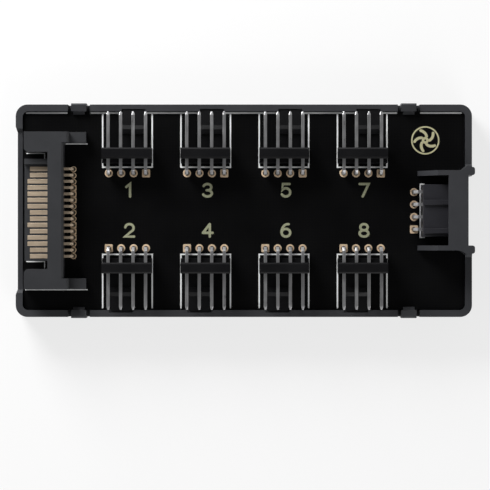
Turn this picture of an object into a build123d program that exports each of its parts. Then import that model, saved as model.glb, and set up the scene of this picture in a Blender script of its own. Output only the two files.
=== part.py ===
from build123d import *
import os

os.makedirs("parts", exist_ok=True)

# All sizes in millimetres. The hub lies on its base, board face up:
# X runs along the case from power inlet to control inlet, Y across it, Z up from the base.

# Case tray
case_length = 93.2
case_width = 43.4
case_corner_radius = 2.4
wall_thickness = 1.4
floor_thickness = 1.6
base_edge_radius = 0.5
wall_above_board = 0.7
ledge_width = 0.9
post_radius = 1.5
post_inset = 6.7

# Circuit board
board_clearance = 0.15
board_thickness = 1.6
board_lift = 3.4
board_corner_radius = 1.0
hole_sides = 10

# Snap clips holding the board down
clip_spread = 67.4
clip_width = 3.1
clip_slot = 0.7
clip_root = 0.8
clip_proud = 0.22
clip_rise = 0.8
clip_edge = 0.3
hook_width = 2.35
hook_reach = 0.5
hook_lip = 0.35
hook_gap = 0.05

# Square contact pins, shared by the fan headers and the control inlet
pin_pitch = 2.54
pin_count = 4
pin_width = 0.64
pin_bend = 0.45
pin_tail = 1.4
pin_tip_length = 0.65
pin_tip_taper = 14
pin_hole = 1.0

# Fan headers
header_pitch = 16.0
header_shift = 0.2
header_count_per_row = 4
pad_inset = 12.48
pin_height = 3.3
pin_reach = 7.4
wafer_setback = 2.04
wafer_depth = 3.06
wafer_rear_step = 0.86
wafer_height = 6.2
wafer_side_relief = 0.03
wafer_edge = 0.3
tongue_width = 4.5
tongue_thickness = 0.8
tongue_tip_thickness = 0.55
tongue_overhang = 0.45
tongue_corner = 0.6
tongue_clearance = 0.2
ridge_start = 2.95
ridge_top = 0.92
ridge_ramp = 0.82
ridge_height = 0.55

# Power inlet
power_front_inset = 0.45
power_width = 32.0
power_mouth = 23.8
power_arm = 4.8
power_body = 3.2
power_shoulder = 1.05
power_foot = 3.4
power_foot_width = 2.2
power_height = 6.0
power_foot_height = 2.6
power_lead_in = 0.6
power_back_chamfer = 0.4
power_tongue_width = 20.75
power_tongue_shift = 0.15
power_tongue_thickness = 1.23
power_tongue_lift = 2.2
power_key_width = 1.1
power_key_height = 1.1
power_peg_radius = 0.75
power_peg_extra = 0.5
power_peg_clearance = 0.1

contact_pitch = 1.27
contact_count = 15
contact_shift = -0.4
contact_width = 0.9
contact_thickness = 0.25
contact_proud = 0.05
contact_long_inset = 0.6
contact_short_inset = 1.1
contact_long_numbers = (3, 4, 5, 6, 7, 10, 12, 13)
leg_width = 0.55
leg_setback = 1.76
leg_bend = 0.4
leg_hole = 0.9

# Control inlet
control_pad_inset = 10.25
control_setback = 1.5
control_length = 8.7
control_width = 10.54
control_lift = 1.5
control_height = 5.2
control_foot = 3.4
control_rib_width = 0.9
control_rib_height = 0.5
control_channel = 4.9
control_entry = 1.0
control_entry_depth = 5.5
control_blade_thickness = 0.2
control_blade_inset = 1.0

# Hood over the control inlet
mouth_width = 14.2
mouth_recess = 0.65
cheek_thickness = 1.0
cheek_gap = 0.2
cheek_length = 9.8
cheek_slope = 3.65
cheek_toe = 0.9
flare_length = 1.9
flare_width = 0.9
column_width = 1.65
column_round = 0.5
column_ramp = 0.75
roof_inset = 1.3
roof_length = 4.0
roof_thickness = 1.1
roof_gap = 1.2

# Wall cut-down at the power inlet
inlet_recess = 0.38
inlet_shoulder = 1.2
inlet_bevel = 0.7
inlet_margin = 0.1

# Parts under the board
led_length = 3.2
led_width = 1.6
led_height = 1.1
led_setback = 3.57
led_shift = 0.35
resistor_length = 1.6
resistor_width = 0.8
resistor_height = 0.5
resistor_offset = 4.4
capacitor_length = 3.2
capacitor_width = 2.5
capacitor_height = 1.8
capacitor_pitch = 4.0
capacitor_count = 4
capacitor_setback = 6.9
fuse_length = 4.5
fuse_width = 3.2
fuse_height = 0.8
fuse_row = 11.0
chip_length = 4.9
chip_width = 3.9
chip_height = 1.5
chip_standoff = 0.1
chip_lead_pitch = 1.27
chip_lead_width = 0.4
chip_lead_reach = 1.05
chip_lead_thickness = 0.2
chip_setback = 6.8

# Levels and places that follow from the sizes
cavity_length = case_length - 2 * wall_thickness
cavity_width = case_width - 2 * wall_thickness
board_length = cavity_length - 2 * board_clearance
board_width = cavity_width - 2 * board_clearance
board_under = floor_thickness + board_lift
board_top = board_under + board_thickness
wall_top = board_top + wall_above_board
pad_row = board_width / 2 - pad_inset
row_span = (pin_count - 1) * pin_pitch
pin_places = [index * pin_pitch - row_span / 2 for index in range(pin_count)]
tongue_centre = pin_places[-2]

wafer_front = wafer_setback + wafer_depth
wafer_upper_rear = wafer_setback + wafer_rear_step
wafer_width = pin_count * pin_pitch - 2 * wafer_side_relief
tongue_tip = pad_inset + tongue_overhang
pin_tip = wafer_front + pin_reach
ridge_back = wafer_front + ridge_start
ridge_front = ridge_back + ridge_top
ridge_end = ridge_front + ridge_ramp

header_span = (header_count_per_row - 1) * header_pitch
header_columns = [index * header_pitch - header_span / 2 + header_shift for index in range(header_count_per_row)]
header_places = []
for column in header_columns:
    header_places.append((column, 1))
    header_places.append((column, -1))

power_front = -board_length / 2 + power_front_inset
power_body_front = power_front + power_arm
power_body_rear = power_body_front + power_body
power_shoulder_rear = power_body_rear + power_shoulder
power_foot_rear = power_shoulder_rear + power_foot
power_foot_inner = power_width / 2 - power_foot_width
power_tongue_under = board_top + power_tongue_lift
power_tongue_top = power_tongue_under + power_tongue_thickness
power_tongue_end = power_tongue_shift + power_tongue_width / 2
contact_under = power_tongue_top + contact_proud - contact_thickness
contact_span = (contact_count - 1) * contact_pitch
contact_rows = [contact_shift + contact_span / 2 - index * contact_pitch for index in range(contact_count)]
contact_tips = []
for number in range(1, contact_count + 1):
    if number in contact_long_numbers:
        contact_tips.append(power_front + contact_long_inset)
    else:
        contact_tips.append(power_front + contact_short_inset)
leg_place = power_body_rear + leg_setback
peg_place = power_shoulder_rear + power_foot / 2
peg_row = power_width / 2 - power_foot_width / 2

control_pads = board_length / 2 - control_pad_inset
control_rear = control_pads + control_setback
control_front = control_rear + control_length
control_under = board_top + control_lift
control_top = control_under + control_height
control_axis = control_under + control_height / 2
control_inner = control_front - control_entry_depth
control_channel_centre = pin_places[1]

hood_under = control_top + control_rib_height + roof_gap
hood_top = hood_under + roof_thickness
roof_front = case_length / 2 - roof_inset
roof_rear = roof_front - roof_length
cheek_rear = roof_front - cheek_length
cheek_under = board_top + cheek_gap
cheek_outer = mouth_width / 2 + cheek_thickness
column_outer = mouth_width / 2 + column_width
wall_inner = cavity_length / 2
post_row = pad_row + post_inset
tail_under = board_under - pin_tail
# a bend is one flat at 45 degrees, as thick as the wire
bend_step = 2 - 2**0.5


# Case tray: floor, walls, board ledge, posts, snap clips and the control hood in one moulding
with BuildPart() as case_tray:
    with BuildSketch():
        RectangleRounded(case_length, case_width, case_corner_radius)
    extrude(amount=wall_top)
    fillet(case_tray.faces().sort_by(Axis.Z)[0].edges(), base_edge_radius)

    # hollow below the board, leaving a ledge all round
    with BuildSketch(Plane.XY.offset(floor_thickness)):
        RectangleRounded(
            cavity_length - 2 * ledge_width,
            cavity_width - 2 * ledge_width,
            board_corner_radius,
        )
    extrude(amount=board_lift, mode=Mode.SUBTRACT)
    # seat of the board
    with BuildSketch(Plane.XY.offset(board_under)):
        RectangleRounded(cavity_length, cavity_width, board_corner_radius + board_clearance)
    extrude(amount=wall_top - board_under, mode=Mode.SUBTRACT)
    # posts that carry the board under the headers
    with BuildSketch(Plane.XY.offset(floor_thickness)):
        with Locations((header_shift, 0)):
            with GridLocations(header_pitch, 2 * post_row, header_count_per_row - 1, 2):
                Circle(post_radius)
    extrude(amount=board_lift)

    # shallow recess outside the wall at the power inlet, with slanted shoulders
    with BuildSketch():
        with BuildLine():
            Polyline(
                (-case_length / 2 - inlet_recess, power_width / 2 + inlet_shoulder),
                (-case_length / 2, power_width / 2 + inlet_shoulder),
                (-case_length / 2 + inlet_recess, power_width / 2),
                (-case_length / 2 + inlet_recess, -power_width / 2),
                (-case_length / 2, -power_width / 2 - inlet_shoulder),
                (-case_length / 2 - inlet_recess, -power_width / 2 - inlet_shoulder),
                close=True,
            )
        make_face()
    extrude(amount=wall_top, mode=Mode.SUBTRACT)
    # the same wall cut down to the board, with bevelled ends
    with BuildSketch(Plane.YZ.offset(-case_length / 2)):
        with BuildLine():
            Polyline(
                (-power_width / 2 - inlet_margin, board_top),
                (power_width / 2 + inlet_margin, board_top),
                (power_width / 2 + inlet_margin + inlet_bevel, wall_top),
                (-power_width / 2 - inlet_margin - inlet_bevel, wall_top),
                close=True,
            )
        make_face()
    extrude(amount=wall_thickness, mode=Mode.SUBTRACT)

    # wall at the control inlet: recessed outside and cut down to the board
    with BuildSketch():
        with Locations((case_length / 2, 0)):
            Rectangle(2 * mouth_recess, mouth_width)
    extrude(amount=wall_top, mode=Mode.SUBTRACT)
    with BuildSketch(Plane.XY.offset(board_top)):
        with Locations((case_length / 2 - wall_thickness / 2, 0)):
            Rectangle(wall_thickness, mouth_width)
    extrude(amount=wall_above_board, mode=Mode.SUBTRACT)

    # notches that take the tips of the header tongues
    with BuildSketch(Plane.XY.offset(board_top)):
        for column, side in header_places:
            with Locations((column + side * tongue_centre, side * (pad_row + tongue_tip) / 2)):
                Rectangle(
                    tongue_width + 2 * tongue_clearance,
                    pad_row + tongue_tip + 2 * tongue_clearance,
                )
    extrude(amount=wall_above_board, mode=Mode.SUBTRACT)

    # snap clips: a window in the wall and ledge, a springy tab in it, and the hook over the board
    with BuildSketch(Plane.XY.offset(floor_thickness + clip_root)):
        with GridLocations(clip_spread, cavity_width, 2, 2):
            Rectangle(clip_width + 2 * clip_slot, 2 * wall_thickness)
    extrude(amount=wall_top - floor_thickness - clip_root, mode=Mode.SUBTRACT)
    for side in (1, -1):
        for place in (-clip_spread / 2, clip_spread / 2):
            with BuildSketch(Plane.YZ.offset(place)):
                with BuildLine():
                    Polyline(
                        (side * cavity_width / 2, floor_thickness),
                        (side * case_width / 2, floor_thickness + clip_root),
                        (side * (case_width / 2 + clip_proud), floor_thickness + 2 * clip_root),
                        (side * (case_width / 2 + clip_proud), wall_top + clip_rise - clip_edge),
                        (side * (case_width / 2 + clip_proud - clip_edge), wall_top + clip_rise),
                        (side * cavity_width / 2, wall_top + clip_rise - clip_edge),
                        close=True,
                    )
                make_face()
            extrude(amount=clip_width / 2, both=True)
            with BuildSketch(Plane.YZ.offset(place)):
                with BuildLine():
                    Polyline(
                        (side * (cavity_width / 2 + clip_edge), board_top + hook_gap),
                        (side * (cavity_width / 2 + clip_edge), wall_top + clip_rise - clip_edge),
                        (side * cavity_width / 2, wall_top + clip_rise - clip_edge),
                        (side * (board_width / 2 - hook_reach), board_top + hook_gap + hook_lip),
                        (side * (board_width / 2 - hook_reach), board_top + hook_gap),
                        close=True,
                    )
                make_face()
            extrude(amount=hook_width / 2, both=True)

    # hood: two cheeks that flare into the end wall, a column at each, ramps and the roof
    for side in (1, -1):
        with BuildSketch(Plane.XY.offset(cheek_under)):
            with BuildLine():
                inner = Polyline(
                    (roof_front - flare_length, side * cheek_outer),
                    (cheek_rear, side * cheek_outer),
                    (cheek_rear, side * mouth_width / 2),
                    (wall_inner + wall_thickness / 2, side * mouth_width / 2),
                    (wall_inner + wall_thickness / 2, side * (cheek_outer + flare_width)),
                    (wall_inner - board_clearance, side * (cheek_outer + flare_width)),
                )
                Bezier(
                    inner @ 1,
                    (wall_inner - flare_length / 2, side * cheek_outer),
                    inner @ 0,
                )
            make_face()
        extrude(amount=hood_top - cheek_under)
        with BuildSketch(Plane.XY.offset(board_under)) as column_sketch:
            with Locations((case_length / 2 - wall_thickness / 2, side * (mouth_width + column_width) / 2)):
                Rectangle(wall_thickness, column_width)
            fillet(column_sketch.vertices().group_by(Axis.X)[-1], column_round)
        extrude(amount=hood_top - board_under)
        with BuildSketch(Plane.YZ.offset(wall_inner)):
            with BuildLine():
                Polyline(
                    (side * column_outer, wall_top),
                    (side * (column_outer + column_ramp), wall_top),
                    (side * column_outer, wall_top + column_ramp),
                    close=True,
                )
            make_face()
        extrude(amount=wall_thickness)
    with BuildSketch(Plane.XY.offset(hood_under)):
        with Locations(((roof_front + roof_rear) / 2, 0)):
            Rectangle(roof_length, mouth_width + cheek_thickness)
    extrude(amount=roof_thickness)
    # the cheeks slope down to a toe over the board
    with BuildSketch(Plane.XZ):
        with BuildLine():
            Polyline(
                (cheek_rear, cheek_under + cheek_toe),
                (cheek_rear + cheek_slope, hood_top),
                (cheek_rear, hood_top),
                close=True,
            )
        make_face()
    extrude(amount=cheek_outer, both=True, mode=Mode.SUBTRACT)


# Circuit board with its plated holes
with BuildPart() as circuit_board:
    with BuildSketch(Plane.XY.offset(board_under)):
        RectangleRounded(board_length, board_width, board_corner_radius)
        for column, side in header_places:
            with Locations(*[(column + place, side * pad_row) for place in pin_places]):
                RegularPolygon(pin_hole / 2, hole_sides, mode=Mode.SUBTRACT)
        with Locations(*[(control_pads, place) for place in pin_places]):
            RegularPolygon(pin_hole / 2, hole_sides, mode=Mode.SUBTRACT)
        with Locations(*[(leg_place, row) for row in contact_rows]):
            RegularPolygon(leg_hole / 2, hole_sides, mode=Mode.SUBTRACT)
        with Locations((peg_place, peg_row), (peg_place, -peg_row)):
            Circle(power_peg_radius + power_peg_clearance, mode=Mode.SUBTRACT)
    extrude(amount=board_thickness)


# Fan header wafer with its locking tongue, about its own row of pads
with BuildPart() as header_wafer:
    with BuildSketch(Plane.YZ):
        with BuildLine():
            Polyline(
                (wafer_setback, 0),
                (wafer_front, 0),
                (wafer_front, wafer_height - wafer_edge),
                (wafer_front - wafer_edge, wafer_height),
                (wafer_upper_rear + wafer_edge, wafer_height),
                (wafer_upper_rear, wafer_height - wafer_edge),
                (wafer_upper_rear, pin_height - pin_width / 2),
                (wafer_setback, pin_height - pin_width / 2),
                close=True,
            )
        make_face()
    extrude(amount=wafer_width / 2, both=True)
    with BuildSketch(Plane.YZ.offset(tongue_centre)):
        with BuildLine():
            Polyline(
                (wafer_front - wafer_edge, 0),
                (wafer_front - wafer_edge, tongue_thickness),
                (ridge_back, tongue_thickness),
                (ridge_back, tongue_thickness + ridge_height),
                (ridge_front, tongue_thickness + ridge_height),
                (ridge_end, tongue_thickness),
                (tongue_tip, tongue_tip_thickness),
                (tongue_tip, 0),
                close=True,
            )
        make_face()
    extrude(amount=tongue_width / 2, both=True)
    tip_edges = header_wafer.faces().sort_by(Axis.Y)[-1].edges().filter_by(Axis.Z)
    fillet(tip_edges, tongue_corner)
    for place in pin_places:
        with BuildSketch(Plane.YZ.offset(place)):
            with Locations((wafer_front - wafer_depth / 2, pin_height)):
                Rectangle(2 * wafer_depth, pin_width)
        extrude(amount=pin_width / 2, both=True, mode=Mode.SUBTRACT)


# One right-angle pin, about its own hole in the board
with BuildPart() as header_pin:
    with BuildSketch(Plane.YZ) as pin_profile:
        with BuildLine():
            Polyline(
                (pin_tip - pin_tip_length, pin_height + pin_width / 2),
                (-pin_width / 2, pin_height + pin_width / 2),
                (-pin_width / 2, -board_thickness - pin_tail),
                (pin_width / 2, -board_thickness - pin_tail),
                (pin_width / 2, pin_height - pin_width / 2),
                (pin_tip - pin_tip_length, pin_height - pin_width / 2),
                close=True,
            )
        make_face()
        chamfer(
            pin_profile.vertices().sort_by_distance((-pin_width / 2, pin_height + pin_width / 2))[0],
            pin_bend + bend_step * pin_width,
        )
        chamfer(
            pin_profile.vertices().sort_by_distance((pin_width / 2, pin_height - pin_width / 2))[0],
            pin_bend,
        )
    extrude(amount=pin_width / 2, both=True)
    pin_end = Plane((0, pin_tip - pin_tip_length, pin_height), x_dir=(1, 0, 0), z_dir=(0, 1, 0))
    with BuildSketch(pin_end):
        Rectangle(pin_width, pin_width)
    extrude(amount=pin_tip_length, taper=pin_tip_taper)

with BuildPart() as header_pins:
    with Locations(*[(place, 0, 0) for place in pin_places]):
        add(header_pin.part)

for number, (column, side) in enumerate(header_places, start=1):
    seat = Location((column, side * pad_row, board_top), (0, 0, 0 if side > 0 else 180))
    with BuildPart() as fan_header:
        with Locations(seat):
            add(header_wafer.part)
    fan_header.part.label = f"fan_header_{number}"
    export_step(fan_header.part, f"parts/fan_header_{number}.step")
    with BuildPart() as fan_pins:
        with Locations(seat):
            add(header_pins.part)
    fan_pins.part.label = f"fan_pins_{number}"
    export_step(fan_pins.part, f"parts/fan_pins_{number}.step")


# Power inlet housing: back body, two guide arms, tongue with its key, rear feet and pegs
with BuildPart() as power_inlet:
    with BuildSketch(Plane.XY.offset(board_top)):
        with BuildLine():
            Polyline(
                (power_front, power_width / 2),
                (power_front, power_mouth / 2 + power_lead_in),
                (power_front + power_lead_in, power_mouth / 2),
                (power_body_front, power_mouth / 2),
                (power_body_front, -power_mouth / 2),
                (power_front + power_lead_in, -power_mouth / 2),
                (power_front, -power_mouth / 2 - power_lead_in),
                (power_front, -power_width / 2),
                (power_shoulder_rear, -power_width / 2),
                (power_shoulder_rear, -power_foot_inner),
                (power_body_rear, -power_foot_inner),
                (power_body_rear, power_foot_inner),
                (power_shoulder_rear, power_foot_inner),
                (power_shoulder_rear, power_width / 2),
                close=True,
            )
        make_face()
    extrude(amount=power_height)
    back_edge = power_inlet.faces().sort_by(Axis.Z)[-1].edges().filter_by(Axis.Y).sort_by(Axis.X)
    chamfer(back_edge[-3:], power_back_chamfer)
    with BuildSketch(Plane.XY.offset(board_top)):
        for side in (1, -1):
            with Locations((power_foot_rear - power_foot / 2, side * peg_row)):
                Rectangle(power_foot, power_foot_width)
    extrude(amount=power_foot_height)
    with BuildSketch(Plane.XY.offset(power_tongue_under)):
        with Locations((power_front + power_arm / 2 + power_body / 4, power_tongue_shift)):
            Rectangle(power_arm + power_body / 2, power_tongue_width)
    extrude(amount=power_tongue_thickness)
    with BuildSketch(Plane.XY.offset(power_tongue_top)):
        with Locations((power_front + power_arm / 2 + power_body / 4, power_tongue_end - power_key_width / 2)):
            Rectangle(power_arm + power_body / 2, power_key_width)
    extrude(amount=power_key_height)
    with BuildSketch(Plane.XY.offset(board_top)):
        with Locations((peg_place, peg_row), (peg_place, -peg_row)):
            Circle(power_peg_radius)
    extrude(amount=-board_thickness - power_peg_extra)
    with BuildSketch(Plane.XY.offset(contact_under)):
        for tip, row in zip(contact_tips, contact_rows):
            with Locations(((tip + power_body_rear) / 2, row)):
                Rectangle(power_body_rear - tip, contact_width)
    extrude(amount=contact_thickness, mode=Mode.SUBTRACT)
power_inlet.part.label = "power_inlet"
export_step(power_inlet.part, "parts/power_inlet.step")

# Power contacts: a blade on the tongue, through the body and bent down into the board
with BuildPart() as power_contacts:
    with BuildSketch(Plane.XY.offset(contact_under)):
        for tip, row in zip(contact_tips, contact_rows):
            with Locations(((tip + power_body_rear) / 2, row)):
                Rectangle(power_body_rear - tip, contact_width)
    extrude(amount=contact_thickness)
    for row in contact_rows:
        with BuildSketch(Plane.XZ.offset(-row)) as leg_profile:
            with BuildLine():
                Polyline(
                    (power_body_rear - contact_thickness, contact_under + contact_thickness),
                    (leg_place + contact_thickness / 2, contact_under + contact_thickness),
                    (leg_place + contact_thickness / 2, tail_under),
                    (leg_place - contact_thickness / 2, tail_under),
                    (leg_place - contact_thickness / 2, contact_under),
                    (power_body_rear - contact_thickness, contact_under),
                    close=True,
                )
            make_face()
            chamfer(
                leg_profile.vertices().sort_by_distance(
                    (leg_place + contact_thickness / 2, contact_under + contact_thickness)
                )[0],
                leg_bend + bend_step * contact_thickness,
            )
            chamfer(
                leg_profile.vertices().sort_by_distance((leg_place - contact_thickness / 2, contact_under))[0],
                leg_bend,
            )
        extrude(amount=leg_width / 2, both=True)
power_contacts.part.label = "power_contacts"
export_step(power_contacts.part, "parts/power_contacts.step")


# Control inlet housing: a plug-shaped block on a foot, ribs on top, four contact entries in front
with BuildPart() as control_inlet:
    with BuildSketch(Plane.XY.offset(control_under)):
        with Locations((control_rear + control_length / 2, 0)):
            Rectangle(control_length, control_width)
    extrude(amount=control_height)
    with BuildSketch(Plane.XY.offset(board_top)):
        with Locations((control_rear + control_foot / 2, 0)):
            Rectangle(control_foot, control_width)
    extrude(amount=control_lift)
    with BuildSketch(Plane.XY.offset(control_top)):
        for side in (1, -1):
            rib_row = control_channel_centre + side * (control_channel + control_rib_width) / 2
            with Locations((control_rear + control_length / 2, rib_row)):
                Rectangle(control_length, control_rib_width)
    extrude(amount=control_rib_height)
    entry_face = Plane((control_front, 0, control_axis), x_dir=(0, 1, 0), z_dir=(1, 0, 0))
    with BuildSketch(entry_face):
        with GridLocations(pin_pitch, pin_pitch, pin_count, 1):
            Rectangle(control_entry, control_entry)
    extrude(amount=-control_entry_depth, mode=Mode.SUBTRACT)
    with BuildSketch(entry_face.offset(-control_entry_depth)):
        with GridLocations(pin_pitch, pin_pitch, pin_count, 1):
            Rectangle(pin_width, pin_width)
    extrude(amount=control_entry_depth - control_length, mode=Mode.SUBTRACT)
control_inlet.part.label = "control_inlet"
export_step(control_inlet.part, "parts/control_inlet.step")

# Control contacts: a bent tail behind the block and a spring blade on the floor of each entry
with BuildPart() as control_contacts:
    for row in pin_places:
        with BuildSketch(Plane.XZ.offset(-row)) as tail_profile:
            with BuildLine():
                Polyline(
                    (control_inner, control_axis + pin_width / 2),
                    (control_pads - pin_width / 2, control_axis + pin_width / 2),
                    (control_pads - pin_width / 2, tail_under),
                    (control_pads + pin_width / 2, tail_under),
                    (control_pads + pin_width / 2, control_axis - pin_width / 2),
                    (control_inner, control_axis - pin_width / 2),
                    close=True,
                )
            make_face()
            chamfer(
                tail_profile.vertices().sort_by_distance(
                    (control_pads - pin_width / 2, control_axis + pin_width / 2)
                )[0],
                pin_bend + bend_step * pin_width,
            )
            chamfer(
                tail_profile.vertices().sort_by_distance(
                    (control_pads + pin_width / 2, control_axis - pin_width / 2)
                )[0],
                pin_bend,
            )
        extrude(amount=pin_width / 2, both=True)
        with BuildSketch(Plane.XZ.offset(-row)):
            with BuildLine():
                Polyline(
                    (control_inner, control_axis + pin_width / 2),
                    (control_inner, control_axis - control_entry / 2),
                    (control_front - control_blade_inset, control_axis - control_entry / 2),
                    (
                        control_front - control_blade_inset,
                        control_axis - control_entry / 2 + control_blade_thickness,
                    ),
                    (
                        control_inner + control_blade_thickness,
                        control_axis - control_entry / 2 + control_blade_thickness,
                    ),
                    (control_inner + control_blade_thickness, control_axis + pin_width / 2),
                    close=True,
                )
            make_face()
        extrude(amount=pin_width / 2, both=True)
control_contacts.part.label = "control_contacts"
export_step(control_contacts.part, "parts/control_contacts.step")


# Lamps under the numerals, one at each header, with their resistors
for number, (column, side) in enumerate(header_places, start=1):
    with BuildPart() as numeral_lamp:
        with BuildSketch(Plane.XY.offset(board_under)):
            with Locations((column + led_shift, side * (pad_row - led_setback))):
                Rectangle(led_length, led_width)
        extrude(amount=-led_height)
        chamfer(numeral_lamp.faces().sort_by(Axis.Z)[0].edges(), led_height / 5)
    numeral_lamp.part.label = f"numeral_lamp_{number}"
    export_step(numeral_lamp.part, f"parts/numeral_lamp_{number}.step")

with BuildPart() as lamp_resistors:
    with BuildSketch(Plane.XY.offset(board_under)):
        for column, side in header_places:
            with Locations((column + resistor_offset, side * (pad_row - led_setback))):
                Rectangle(resistor_length, resistor_width)
    extrude(amount=-resistor_height)
lamp_resistors.part.label = "lamp_resistors"
export_step(lamp_resistors.part, "parts/lamp_resistors.step")

# Supply capacitors and fuse behind the power inlet
with BuildPart() as supply_capacitors:
    with BuildSketch(Plane.XY.offset(board_under)):
        with Locations((leg_place + capacitor_setback, 0)):
            with GridLocations(capacitor_pitch, capacitor_pitch, 1, capacitor_count):
                Rectangle(capacitor_length, capacitor_width)
    extrude(amount=-capacitor_height)
supply_capacitors.part.label = "supply_capacitors"
export_step(supply_capacitors.part, "parts/supply_capacitors.step")

with BuildPart() as supply_fuse:
    with BuildSketch(Plane.XY.offset(board_under)):
        with Locations((leg_place + capacitor_setback, fuse_row)):
            Rectangle(fuse_width, fuse_length)
    extrude(amount=-fuse_height)
supply_fuse.part.label = "supply_fuse"
export_step(supply_fuse.part, "parts/supply_fuse.step")

# Control signal buffer: a small chip on eight bent leads
with BuildPart() as signal_buffer:
    with BuildSketch(Plane.XY.offset(board_under - chip_standoff)):
        with Locations((control_pads - chip_setback, 0)):
            Rectangle(chip_width, chip_length)
    extrude(amount=-chip_height)
    with BuildSketch(Plane.XY.offset(board_under - chip_standoff)):
        with Locations((control_pads - chip_setback, 0)):
            with GridLocations(chip_width + chip_lead_reach, chip_lead_pitch, 2, 4):
                Rectangle(chip_lead_reach, chip_lead_width)
    extrude(amount=-chip_height / 2)
    with BuildSketch(Plane.XY.offset(board_under)):
        with Locations((control_pads - chip_setback, 0)):
            with GridLocations(chip_width + 1.5 * chip_lead_reach, chip_lead_pitch, 2, 4):
                Rectangle(chip_lead_reach / 2, chip_lead_width)
    extrude(amount=-chip_standoff - chip_lead_thickness)
signal_buffer.part.label = "signal_buffer"
export_step(signal_buffer.part, "parts/signal_buffer.step")

case_tray.part.label = "case_tray"
export_step(case_tray.part, "parts/case_tray.step")
circuit_board.part.label = "circuit_board"
export_step(circuit_board.part, "parts/circuit_board.step")
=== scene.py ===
import math
import bmesh
import bpy
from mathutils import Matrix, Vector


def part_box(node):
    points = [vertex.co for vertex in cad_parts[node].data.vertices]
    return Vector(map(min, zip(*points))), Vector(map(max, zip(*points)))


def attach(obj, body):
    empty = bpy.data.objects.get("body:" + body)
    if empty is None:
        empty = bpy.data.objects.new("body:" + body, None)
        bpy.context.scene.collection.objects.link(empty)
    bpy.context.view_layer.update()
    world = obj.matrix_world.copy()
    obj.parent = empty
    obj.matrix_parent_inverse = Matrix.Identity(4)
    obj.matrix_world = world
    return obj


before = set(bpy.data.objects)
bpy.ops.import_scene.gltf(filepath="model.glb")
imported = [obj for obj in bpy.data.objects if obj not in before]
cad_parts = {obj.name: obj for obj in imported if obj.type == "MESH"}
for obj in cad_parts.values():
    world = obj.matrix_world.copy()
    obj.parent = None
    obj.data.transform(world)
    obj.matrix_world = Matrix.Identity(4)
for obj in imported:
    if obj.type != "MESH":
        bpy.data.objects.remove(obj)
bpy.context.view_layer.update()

# Case tray
# The tray is one shallow injection moulding in charcoal ABS: floor, walls, board ledge,
# four snap clips and the hood. The tool is spark-eroded, so faces are finely grained.


class Flow:
    """A shader socket that takes part in Python arithmetic."""

    def __init__(self, tree, socket=None):
        self.tree = tree
        self.socket = socket

    def node(self, kind, settings=None, inputs=None, out=0):
        made = self.tree.nodes.new(kind)
        for name, value in (settings or {}).items():
            if name == "stops":
                ramp = made.color_ramp
                while len(ramp.elements) < len(value):
                    ramp.elements.new(0.5)
                for element, (place, tone) in zip(ramp.elements, value):
                    element.position = place
                    element.color = (tone, tone, tone, 1.0)
            else:
                setattr(made, name, value)
        for name, value in (inputs or {}).items():
            if isinstance(value, Flow):
                self.tree.links.new(value.socket, made.inputs[name])
            else:
                made.inputs[name].default_value = value
        return Flow(self.tree, made.outputs[out])

    def maths(self, operation, first, second):
        return self.node("ShaderNodeMath", {"operation": operation}, {0: first, 1: second})

    def __add__(self, other):
        return self.maths("ADD", self, other)

    def __radd__(self, other):
        return self.maths("ADD", other, self)

    def __sub__(self, other):
        return self.maths("SUBTRACT", self, other)

    def __rsub__(self, other):
        return self.maths("SUBTRACT", other, self)

    def __mul__(self, other):
        return self.maths("MULTIPLY", self, other)

    def __rmul__(self, other):
        return self.maths("MULTIPLY", other, self)

    def above(self, limit):
        return self.maths("GREATER_THAN", self, limit)

    def blend(self, low, high):
        tones = [tone if isinstance(tone, Flow) else (*tone, 1.0) for tone in (low, high)]
        sockets = {0: self, 6: tones[0], 7: tones[1]}
        return self.node("ShaderNodeMix", {"data_type": "RGBA"}, sockets, out=2)


def new_finish(name):
    material = bpy.data.materials.new(name)
    material.use_nodes = True
    return material, Flow(material.node_tree), material.node_tree.nodes["Principled BSDF"]


def lay(material, shader, links, constants):
    for name, value in links.items():
        material.node_tree.links.new(value.socket, shader.inputs[name])
    for name, value in constants.items():
        shader.inputs[name].default_value = value
    return material


def grain(flow, scale, detail=3.0, stretch=(1, 1, 1)):
    place = flow.node("ShaderNodeTexCoord", out=3)
    spread = flow.node("ShaderNodeVectorMath", {"operation": "MULTIPLY"}, {0: place, 1: stretch})
    return flow.node("ShaderNodeTexNoise", None, {"Vector": spread, "Scale": scale, "Detail": detail})


def relief(flow, strength, depth, height):
    return flow.node("ShaderNodeBump", None, {"Strength": strength, "Distance": depth, "Height": height})


def moulded_finish(name, tone, rough, grain_scale, grain_depth, gloss):
    material, flow, shader = new_finish(name)
    cloud = grain(flow, 160, 4.0)
    fine = grain(flow, grain_scale, 2.0)
    speck = grain(flow, 900, 2.0)
    dark = tuple(v * 0.8 for v in tone)
    pale = tuple(v * 1.22 for v in tone)
    colour = (cloud * 0.6 + speck * 0.4).blend(dark, pale)
    dullness = rough + (cloud - 0.5) * 0.22 + (fine - 0.5) * 0.12
    return lay(
        material, shader,
        {"Base Color": colour, "Roughness": dullness, "Normal": relief(flow, 0.35, grain_depth, fine)},
        {"Specular IOR Level": gloss},
    )


def dress(node, material, edge=None):
    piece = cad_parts[node]
    piece.data.materials.clear()
    piece.data.materials.append(material)
    if edge:
        weld = piece.modifiers.new("weld", "WELD")
        weld.merge_threshold = 0.000002
        round_off = piece.modifiers.new("edge_round", "BEVEL")
        round_off.width = edge
        round_off.segments = 2
        round_off.limit_method = "ANGLE"
        round_off.angle_limit = math.radians(32)
        round_off.use_clamp_overlap = True


tray_edge = 0.00012
tray_plastic = moulded_finish("tray_plastic", (0.032, 0.033, 0.037), 0.5, 5200, 0.00005, 0.4)
dress("case_tray", tray_plastic, tray_edge)


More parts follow.
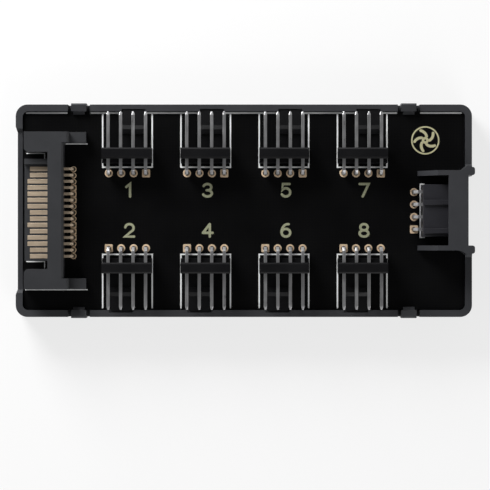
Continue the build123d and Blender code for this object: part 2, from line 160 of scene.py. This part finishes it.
# Circuit board
# The board is glass-cloth laminate under a black solder mask, cut by a router, and drops
# on the tray's ledge. Its cut edges show the bare laminate.
board_low, board_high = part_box("circuit_board")
board_top = board_high.z


def threads(flow, scale, distortion):
    """The two thread directions of glass cloth, one on the other."""
    place = flow.node("ShaderNodeTexCoord", out=3)
    sockets = {"Vector": place, "Scale": scale, "Distortion": distortion}
    warp = flow.node("ShaderNodeTexWave", {"bands_direction": "X"}, sockets)
    weft = flow.node("ShaderNodeTexWave", {"bands_direction": "Y"}, sockets)
    return warp * weft


def board_finish():
    material, flow, shader = new_finish("black_solder_mask")
    cloth = threads(flow, 520.0, 0.6)
    cloud = grain(flow, 130, 4.0)
    normal = flow.node("ShaderNodeNewGeometry", out=1)
    facing = flow.node("ShaderNodeSeparateXYZ", None, {0: normal}, out=2)
    mask_face = facing.maths("ABSOLUTE", facing, 0.0).above(0.6)
    mask = (cloth * 0.5 + cloud * 0.5).blend((0.0018, 0.0018, 0.0020), (0.0044, 0.0044, 0.0048))
    laminate = cloth.blend((0.035, 0.03, 0.017), (0.07, 0.062, 0.038))
    bump = relief(flow, 0.12, 0.00003, cloth * 0.6 + grain(flow, 2600, 2.0) * 0.4)
    colour = mask_face.blend(laminate, mask)
    return lay(
        material, shader,
        {"Base Color": colour, "Roughness": 0.36 + (cloud - 0.5) * 0.2, "Normal": bump},
        {"Specular IOR Level": 0.12},
    )


dress("circuit_board", board_finish())


# Pads
# Each hole in the board has a copper ring with a thin gold flash on it, etched with the
# tracks before the mask goes on. The first pad of a row is square.
MM = 0.001
pin_width = 0.64
pin_pitch = 2.54
pin_steps = [pin_pitch * (place - 1.5) for place in range(4)]
upper_pins = [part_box(f"fan_pins_{number}") for number in (1, 3, 5, 7)]
header_columns = [(low.x + high.x) / 2 / MM for low, high in upper_pins]
pad_row = upper_pins[0][0].y / MM + pin_width / 2
control_pad_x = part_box("control_contacts")[0].x / MM + pin_width / 2
header_pad_radius = 0.82
header_pad_hole = 0.49

strip_count = 15
strip_pitch = 1.27
strip_thickness = 0.25
strips_low, strips_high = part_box("power_contacts")
strips_middle = (strips_low.y + strips_high.y) / 2 / MM
power_pad_x = strips_high.x / MM - strip_thickness / 2
power_rows = [strips_middle + strip_pitch * ((strip_count - 1) / 2 - step) for step in range(strip_count)]
power_pad_radius = 0.6
power_pad_hole = 0.44
square_power_pads = (4, 5, 6, 10, 11, 12)

pad_rise = 0.04
pad_round = 0.03
pad_barrel = 0.12
square_corner = 1.33
pad_sides = 32


def piece_from(name, mesh, material):
    data = bpy.data.meshes.new(name)
    mesh.normal_update()
    mesh.to_mesh(data)
    mesh.free()
    data.materials.append(material)
    made = bpy.data.objects.new(name, data)
    bpy.context.scene.collection.objects.link(made)
    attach(made, "root")


def spot(mesh, x, y, rise):
    """A mesh point over the board's face, in millimetres."""
    return mesh.verts.new((x * MM, y * MM, board_top + rise * MM))


def ring_pad(mesh, x, y, outer, inner, square):
    turns = [2 * math.pi * (step + 0.5) / pad_sides for step in range(pad_sides)]
    loops = []
    for level, shrink in ((0.0, 0.0), (pad_rise * 0.7, 0.0), (pad_rise, pad_round)):
        loop = []
        for angle in turns:
            c, s = math.cos(angle), math.sin(angle)
            radius = outer - shrink
            if square:
                radius *= min(1 / max(abs(c), abs(s)), square_corner)
            loop.append(spot(mesh, x + c * radius, y + s * radius, level))
        loops.append(loop)
    for level in (pad_rise, pad_rise - pad_barrel):
        loops.append([spot(mesh, x + math.cos(a) * inner, y + math.sin(a) * inner, level) for a in turns])
    for low, high in zip(loops, loops[1:]):
        for step in range(pad_sides):
            after = (step + 1) % pad_sides
            mesh.faces.new((low[step], low[after], high[after], high[step]))


def pad_finish():
    material, flow, shader = new_finish("gold_flashed_copper")
    cloud = grain(flow, 700, 4.0)
    fine = grain(flow, 9000, 2.0)
    colour = (cloud * 0.7 + fine * 0.3).blend((0.78, 0.54, 0.34), (0.96, 0.78, 0.56))
    bump = relief(flow, 0.3, 0.00002, fine)
    return lay(
        material, shader,
        {"Base Color": colour, "Roughness": 0.42 + (cloud - 0.5) * 0.3, "Normal": bump},
        {"Metallic": 0.45},
    )


pads = bmesh.new()
for column in header_columns:
    for side in (1, -1):
        for step in pin_steps:
            first = side * step > pin_pitch
            ring_pad(pads, column + step, side * pad_row, header_pad_radius, header_pad_hole, first)
for step in pin_steps:
    ring_pad(pads, control_pad_x, step, header_pad_radius, header_pad_hole, step < -pin_pitch)
for number, row in enumerate(power_rows, start=1):
    ring_pad(pads, power_pad_x, row, power_pad_radius, power_pad_hole, number in square_power_pads)
piece_from("pads", pads, pad_finish())


# Printed and pale lines
# White epoxy ink is screened on the mask as an outline round each connector's footprint. A pale
# line in the same white runs along the board's upper edge, broken where the clips hold it.
footprint_line = 0.3
footprint_half = 5.06
footprint_near = 1.24
footprint_far = 12.15
footprint = [
    (-footprint_half, footprint_far),
    (-footprint_half, footprint_near),
    (footprint_half, footprint_near),
    (footprint_half, footprint_far),
]

# A pale line along the board's upper edge, in the print's white, broken where the clips hold the board.
edge_line = 0.32
edge_line_y = board_high.y / MM - 0.16
edge_line_end = 44.4
clip_gap_near = 31.2
clip_gap_far = 36.2
edge_stretches = (
    (-edge_line_end, -clip_gap_far),
    (-clip_gap_near, clip_gap_near),
    (clip_gap_far, edge_line_end),
)

# The first two strokes are pale lines along the lower edges of the inlet's guide arms, in the print's white.
inlet_line = 0.22
inlet_strokes = (
    [(-44.6, -16.14), (-32.0, -16.14)],
    [(-36.4, 13.66), (-32.0, 13.66)],
    [(-44.4, 11.74), (-40.75, 11.74), (-40.75, 10.7)],
    [(-44.4, -10.4), (-40.75, -10.4), (-40.75, -11.7)],
)

control_line = 0.25
control_line_x = 36.06
control_line_end = 36.9
control_half = 5.44
control_stroke = [
    (control_line_end, control_half),
    (control_line_x, control_half),
    (control_line_x, -control_half),
    (control_line_end, -control_half),
]
ink_rise = 0.02
end_steps = 6


def ribbon(mesh, points, width, rise=ink_rise, closed=False):
    """A flat stroke with round ends along points in millimetres."""
    half = width / 2
    count = len(points)
    left, right = [], []
    for index, (x, y) in enumerate(points):
        before = points[(index - 1) % count] if closed or index > 0 else points[index]
        after = points[(index + 1) % count] if closed or index < count - 1 else points[index]
        first = (x - before[0], y - before[1])
        second = (after[0] - x, after[1] - y)
        if first == (0, 0):
            first = second
        if second == (0, 0):
            second = first
        a = math.hypot(*first)
        b = math.hypot(*second)
        nx = -(first[1] / a + second[1] / b)
        ny = first[0] / a + second[0] / b
        size = math.hypot(nx, ny) or 1.0
        nx, ny = nx / size, ny / size
        lean = max(0.45, abs(nx * -first[1] / a + ny * first[0] / a))
        left.append((x + nx * half / lean, y + ny * half / lean))
        right.append((x - nx * half / lean, y - ny * half / lean))
    top = [[spot(mesh, x, y, rise) for x, y in row] for row in (left, right)]
    low = [[spot(mesh, x, y, 0.0) for x, y in row] for row in (left, right)]
    for index in range(count if closed else count - 1):
        after = (index + 1) % count
        mesh.faces.new((top[0][index], top[1][index], top[1][after], top[0][after]))
        mesh.faces.new((low[0][index], top[0][index], top[0][after], low[0][after]))
        mesh.faces.new((top[1][index], low[1][index], low[1][after], top[1][after]))
    if closed:
        return
    for index, turn in ((0, 1), (count - 1, -1)):
        x, y = points[index]
        start = math.atan2(left[index][1] - y, left[index][0] - x)
        arc = [top[0][index]]
        for step in range(1, end_steps):
            angle = start + turn * math.pi * step / end_steps
            arc.append(spot(mesh, x + math.cos(angle) * half, y + math.sin(angle) * half, rise))
        arc.append(top[1][index])
        mesh.faces.new(arc if turn > 0 else arc[::-1])


def matte_line_finish(name, thin, full):
    material, flow, shader = new_finish(name)
    cloud = grain(flow, 900, 3.0)
    fine = grain(flow, 7000, 2.0)
    colour = (cloud * 0.55 + fine * 0.45).blend(thin, full)
    bump = relief(flow, 0.3, 0.00002, fine)
    return lay(
        material, shader,
        {"Base Color": colour, "Roughness": 0.6 + (cloud - 0.5) * 0.2, "Normal": bump},
        {},
    )


line_white = matte_line_finish("line_white", (0.80, 0.81, 0.81), (0.97, 0.98, 0.97))
lines = bmesh.new()
for column in header_columns:
    for side in (1, -1):
        ribbon(lines, [(column + side * x, side * (pad_row + y)) for x, y in footprint], footprint_line)
for start, end in edge_stretches:
    ribbon(lines, [(start, edge_line_y), (end, edge_line_y)], edge_line)
for stroke in inlet_strokes:
    ribbon(lines, stroke, inlet_line)
ribbon(lines, control_stroke, control_line)
piece_from("print_and_pale_lines", lines, line_white)


# Numerals
# Each outlet's number is a window left open in mask and copper, so the bare olive
# laminate shows and the lamp under the board shines through it.
numeral_width = 2.6
numeral_height = 2.55
numeral_stroke = 0.5
numeral_offset = 0.4
upper_numeral_row = 4.2
lower_numeral_row = -4.0
glyph_middle = (0.37, 0.5)
window_rise = 0.012
layer_rise = 0.004
loop_gap = 0.3


def sweep(cx, cy, rx, ry, start, end, steps=18):
    spread = [math.radians(start + (end - start) * step / steps) for step in range(steps + 1)]
    return [(cx + rx * math.cos(a), cy + ry * math.sin(a)) for a in spread]


# Strokes of each figure in a box one unit high, with loops left open by one step
numeral_strokes = {
    1: [[(0.12, 0.76), (0.42, 1.0), (0.42, 0.0)]],
    2: [sweep(0.37, 0.69, 0.33, 0.31, 172, -38) + [(0.03, 0.0), (0.74, 0.0)]],
    3: [sweep(0.35, 0.745, 0.31, 0.255, 160, -80), sweep(0.35, 0.25, 0.35, 0.25, 100, -160)],
    4: [[(0.54, 0.0), (0.54, 1.0)], [(0.54, 1.0), (0.0, 0.3)], [(0.0, 0.3), (0.76, 0.3)]],
    5: [[(0.66, 1.0), (0.14, 1.0), (0.06, 0.5)] + sweep(0.36, 0.33, 0.35, 0.33, 140, -152)],
    6: [sweep(0.37, 0.31, 0.34, 0.31, 180, -160), sweep(0.52, 0.33, 0.49, 0.67, 180, 82)],
    7: [[(0.02, 1.0), (0.72, 1.0), (0.26, 0.0)]],
    8: [sweep(0.36, 0.75, 0.29, 0.25, 0, 340), sweep(0.36, 0.255, 0.35, 0.255, 0, 340)],
}


def window_finish():
    material, flow, shader = new_finish("bare_laminate")
    cloth = threads(flow, 620.0, 0.8)
    cloud = grain(flow, 500, 3.0)
    colour = (cloth * 0.5 + cloud * 0.5).blend((0.29, 0.30, 0.19), (0.46, 0.47, 0.32))
    return lay(material, shader, {"Base Color": colour, "Roughness": 0.4 + (cloud - 0.5) * 0.2}, {})


bare_laminate = window_finish()
for place, column in enumerate(header_columns):
    for number, row in ((2 * place + 1, upper_numeral_row), (2 * place + 2, lower_numeral_row)):
        left = column + numeral_offset - glyph_middle[0] * numeral_width
        foot = row - glyph_middle[1] * numeral_height
        figure = bmesh.new()
        for layer, stroke in enumerate(numeral_strokes[number]):
            path = [(left + x * numeral_width, foot + y * numeral_height) for x, y in stroke]
            looped = math.dist(stroke[0], stroke[-1]) < loop_gap
            ribbon(figure, path, numeral_stroke, window_rise + layer_rise * layer, looped)
        piece_from(f"numeral_{number}", figure, bare_laminate)


# Fan mark
# A plain fan sign is screened in pale yellow ink in the board's corner: a ring, a hub and
# blades, as such hubs carry to say what they drive.
mark_x, mark_y = 37.1, 14.4
mark_ring = 2.75
mark_ring_line = 0.3
mark_hub = 0.45
mark_hub_line = 0.5
blade_count = 5
blade_start = 0.85
blade_length = 1.35
blade_turn = 0.75
blade_line = 0.55
blade_steps = 8
yellow_ink = matte_line_finish("yellow_ink", (0.42, 0.40, 0.22), (0.66, 0.63, 0.40))
mark = bmesh.new()
ribbon(mark, sweep(mark_x, mark_y, mark_ring, mark_ring, 0, 352.5, 47), mark_ring_line, closed=True)
ribbon(mark, sweep(mark_x, mark_y, mark_hub, mark_hub, 0, 345, 23), mark_hub_line, closed=True)
for blade in range(blade_count):
    path = []
    for step in range(blade_steps + 1):
        reach = blade_start + blade_length * step / blade_steps
        angle = 2 * math.pi * blade / blade_count + blade_turn * step / blade_steps
        path.append((mark_x + reach * math.cos(angle), mark_y + reach * math.sin(angle)))
    ribbon(mark, path, blade_line)
piece_from("fan_mark", mark, yellow_ink)


# Fan headers
# Each header's wafer is moulded in black glass-filled nylon with a springy locking tongue
# under the pins. Four square pins are pressed through it and soldered into the board.
moulded_edge = 0.00010
wire_edge = 0.00005


def plated_finish(name, dull, bright, stretch, rough, metal):
    material, flow, shader = new_finish(name)
    drawn = grain(flow, 5200, 3.0, stretch)
    cloud = grain(flow, 700, 3.0)
    colour = (drawn * 0.6 + cloud * 0.4).blend(dull, bright)
    dullness = rough + (drawn - 0.5) * 0.25 + (cloud - 0.5) * 0.15
    bump = relief(flow, 0.2, 0.00002, drawn)
    return lay(
        material, shader,
        {"Base Color": colour, "Roughness": dullness, "Normal": bump},
        {"Metallic": metal},
    )


header_nylon = moulded_finish("header_nylon", (0.0044, 0.0044, 0.0051), 0.4, 6500, 0.00003, 0.22)
tinned_wire = plated_finish("tinned_wire", (0.52, 0.52, 0.53), (0.84, 0.84, 0.85), (1, 0.06, 1), 0.34, 0.95)
for number in range(1, 9):
    dress(f"fan_header_{number}", header_nylon, moulded_edge)
    dress(f"fan_pins_{number}", tinned_wire, wire_edge)


# Power inlet
# The housing is dark grey glass-filled polyester: a back body with two guide arms and a
# keyed tongue. Fifteen gold-flashed strips lie on the tongue and bend down into the board.
strip_edge = 0.00004
inlet_polyester = moulded_finish("inlet_polyester", (0.029, 0.030, 0.033), 0.46, 5600, 0.00004, 0.4)
contact_gold = plated_finish("contact_gold", (0.52, 0.40, 0.28), (0.80, 0.66, 0.50), (0.06, 1, 1), 0.42, 0.62)
dress("power_inlet", inlet_polyester, moulded_edge)
dress("power_contacts", contact_gold, strip_edge)


# Control inlet
# The block is shaped like a fan plug, with two guide ribs, and stands on a foot under the
# tray's hood. Its four tinned tails bend down into the board behind it.
control_nylon = moulded_finish("control_nylon", (0.021, 0.021, 0.0255), 0.42, 6000, 0.00003, 0.35)
dress("control_inlet", control_nylon, moulded_edge)
dress("control_contacts", tinned_wire, wire_edge)


# Parts under the board
# Lamps in clear resin stand under the numerals with their chip resistors; ceramic
# capacitors, a polymer fuse and a moulded buffer chip are soldered beside them.
lamp_resin = moulded_finish("lamp_resin", (0.62, 0.64, 0.48), 0.3, 2500, 0.00002, 0.5)
chip_ceramic = moulded_finish("chip_ceramic", (0.30, 0.24, 0.17), 0.5, 3000, 0.00003, 0.4)
fuse_polymer = moulded_finish("fuse_polymer", (0.03, 0.08, 0.03), 0.5, 3000, 0.00003, 0.4)
chip_epoxy = moulded_finish("chip_epoxy", (0.018, 0.018, 0.018), 0.55, 4000, 0.00003, 0.4)
for number in range(1, 9):
    dress(f"numeral_lamp_{number}", lamp_resin)
dress("lamp_resistors", chip_ceramic)
dress("supply_capacitors", chip_ceramic)
dress("supply_fuse", fuse_polymer)
dress("signal_buffer", chip_epoxy)


# Studio
# A pale table, a soft lamp at the upper left, a weaker one opposite, and a dim room that
# is brighter towards the horizon. The camera looks straight down on the board.
table_half = 3.0
table_gap = 0.00005
table_white = 0.72
table_mesh = bmesh.new()
bmesh.ops.create_grid(table_mesh, x_segments=1, y_segments=1, size=table_half)
table_data = bpy.data.meshes.new("table")
table_mesh.to_mesh(table_data)
table_mesh.free()
table = bpy.data.objects.new("table", table_data)
table.location.z = -table_gap
bpy.context.scene.collection.objects.link(table)
table_paint, flow, shader = new_finish("table_paint")
cloud = grain(flow, 3, 2.0)
lay(
    table_paint, shader,
    {"Base Color": cloud.blend((0.9, 0.9, 0.9), (0.94, 0.94, 0.94)), "Roughness": 0.7 + (cloud - 0.5) * 0.1},
    {"Specular IOR Level": 0.1},
)
seen = flow.node("ShaderNodeLightPath", out=0)
mirrored = flow.node("ShaderNodeLightPath", out=3)
through = flow.node("ShaderNodeLightPath", out=6)
looked_at = seen + mirrored + through
share = looked_at.maths("MINIMUM", looked_at, 1.0) * table_white
white = flow.node("ShaderNodeEmission", None, {"Color": (1, 1, 1, 1), "Strength": 1.0})
painted = Flow(flow.tree, shader.outputs[0])
mixed = flow.node("ShaderNodeMixShader", None, {0: share, 1: painted, 2: white})
flow.tree.links.new(mixed.socket, flow.tree.nodes["Material Output"].inputs["Surface"])
table_data.materials.append(table_paint)

room = bpy.data.worlds.new("room")
bpy.context.scene.world = room
room.use_nodes = True
air = Flow(room.node_tree)
direction = air.node("ShaderNodeTexCoord", out=0)
height = air.node("ShaderNodeSeparateXYZ", None, {0: direction}, out=2)
sky_stops = [(0.0, 0.75), (0.35, 0.62), (0.75, 0.2), (1.0, 0.06)]
glow = air.node("ShaderNodeValToRGB", {"stops": sky_stops}, {0: height})
tint = air.node("ShaderNodeLightPath", out=0).blend(glow, (1, 1, 1))
room.node_tree.links.new(tint.socket, room.node_tree.nodes["Background"].inputs["Color"])


def soft_lamp(name, place, size, power):
    data = bpy.data.lights.new(name, "AREA")
    data.shape = "DISK"
    data.size = size
    data.energy = power
    lamp = bpy.data.objects.new(name, data)
    bpy.context.scene.collection.objects.link(lamp)
    lamp.location = place
    aim = -lamp.location
    lamp.rotation_euler = aim.to_track_quat("-Z", "Y").to_euler()


soft_lamp("key_lamp", (-0.2, 0.28, 0.17), 0.2, 2.0)
soft_lamp("fill_lamp", (0.4, -0.75, 0.5), 0.6, 2.6)

eye_height = 0.65
eye_x, eye_y = 0.00024, -0.00700
frame_width = 0.1002
lens_data = bpy.data.cameras.new("camera")
lens_data.sensor_width = 36.0
lens_data.lens = lens_data.sensor_width * eye_height / frame_width
lens_data.clip_start = 0.01
lens_data.clip_end = 20.0
camera = bpy.data.objects.new("camera", lens_data)
bpy.context.scene.collection.objects.link(camera)
camera.location = (eye_x, eye_y, board_top + eye_height)
camera.rotation_euler = (0, 0, 0)
bpy.context.scene.camera = camera
bpy.context.scene.view_settings.view_transform = "Standard"
